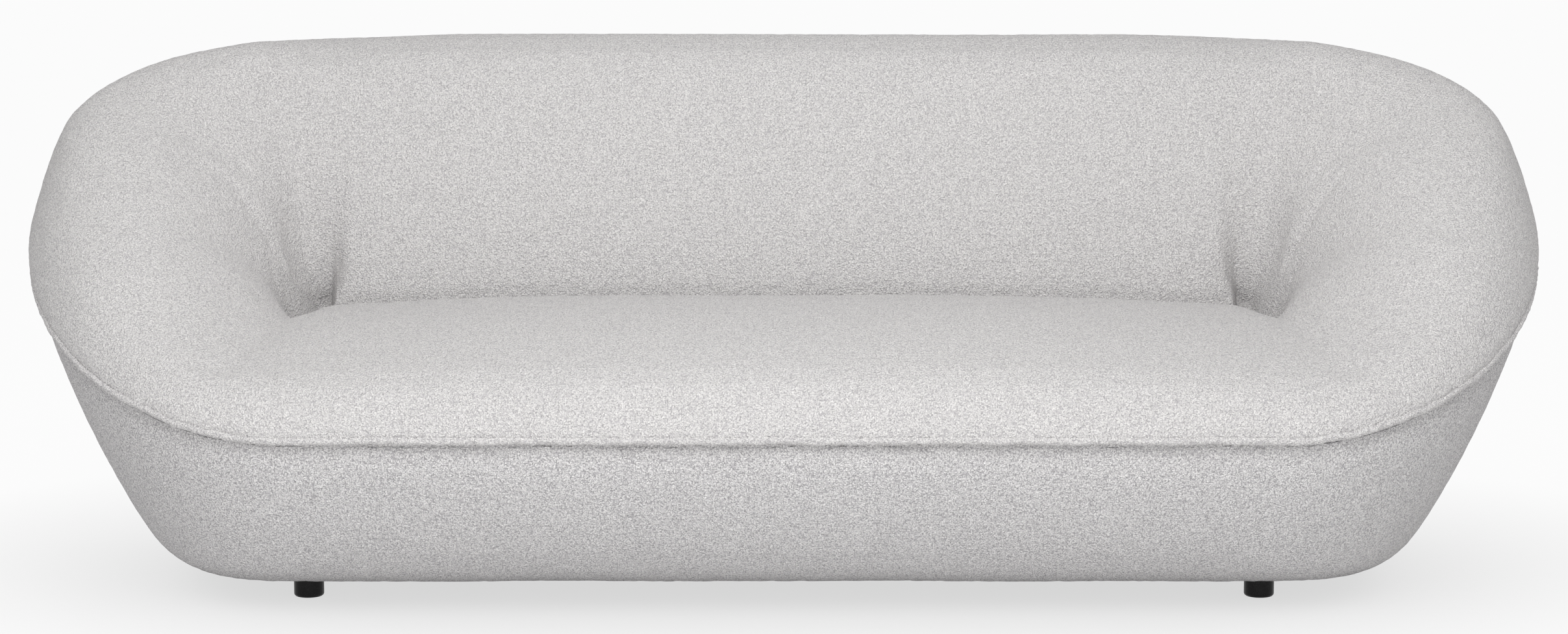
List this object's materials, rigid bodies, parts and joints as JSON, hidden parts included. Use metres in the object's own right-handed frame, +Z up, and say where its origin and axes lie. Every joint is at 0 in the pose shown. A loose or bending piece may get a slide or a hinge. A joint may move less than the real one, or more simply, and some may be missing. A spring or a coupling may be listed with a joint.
{
  "type": "sofa",
  "caption": "Long upholstered sofa whose padded seat, low arms and back form one continuous ring above a flared tub base, with a welt cord between them and short round feet.",
  "frame": {"origin": "on the floor, below the middle of the sofa's outline", "axes": "+X along the sofa's length, to the right as seen from the front; +Y from the front to the back; +Z up"},
  "size_m": [2.3002, 0.95, 0.7953],
  "materials": {
    "boucle": "light grey looped boucle",
    "welt_boucle": "boucle over a cord",
    "foam": "open-cell upholstery foam",
    "fibre": "bonded polyester fibre",
    "spring_steel": "bare spring wire",
    "screw_steel": "zinc plated",
    "webbing": "woven elastic strap",
    "black_plastic": "glossy black",
    "dust_cloth": "black non-woven",
    "timber": "planed softwood",
    "plywood": "birch plywood"
  },
  "bodies": {
    "root": {"arm_cover_left": "boucle", "arm_cover_right": "boucle", "arm_foam_left": "foam", "arm_foam_right": "foam", "back_blocking": "timber", "back_cover": "boucle", "back_foam": "foam", "back_rib_1": "plywood", "back_rib_2": "plywood", "back_rib_3": "plywood", "back_rib_4": "plywood", "back_webbing": "webbing", "base_board_back": "plywood", "base_board_front": "plywood", "base_board_left": "plywood", "base_board_right": "plywood", "base_rail_left": "timber", "base_rail_middle": "timber", "base_rail_right": "timber", "dust_cover": "dust_cloth", "end_post_left": "timber", "end_post_right": "timber", "end_rib_1_left": "plywood", "end_rib_1_right": "plywood", "end_rib_2_left": "plywood", "end_rib_2_right": "plywood", "end_rib_3_left": "plywood", "end_rib_3_right": "plywood", "foot_back_left": "black_plastic", "foot_back_right": "black_plastic", "foot_front_left": "black_plastic", "foot_front_right": "black_plastic", "foot_screws": "screw_steel", "front_rib_1": "plywood", "front_rib_2": "plywood", "front_rib_3": "plywood", "front_rib_4": "plywood", "front_spring_rail": "timber", "pocket_plate_left": "plywood", "pocket_plate_right": "plywood", "rear_spring_rail": "timber", "rim_board_back": "plywood", "rim_board_front": "plywood", "rim_board_left": "plywood", "rim_board_right": "plywood", "seat_cover": "boucle", "seat_foam": "foam", "seat_springs": "spring_steel", "spring_clips": "spring_steel", "tub_cover_back": "boucle", "tub_cover_front": "boucle", "tub_cover_left": "boucle", "tub_cover_right": "boucle", "tub_padding_back": "fibre", "tub_padding_front": "fibre", "tub_padding_left": "fibre", "tub_padding_right": "fibre", "tuck_rail": "timber", "welt_cord": "welt_boucle"}
  },
  "joints": []
}
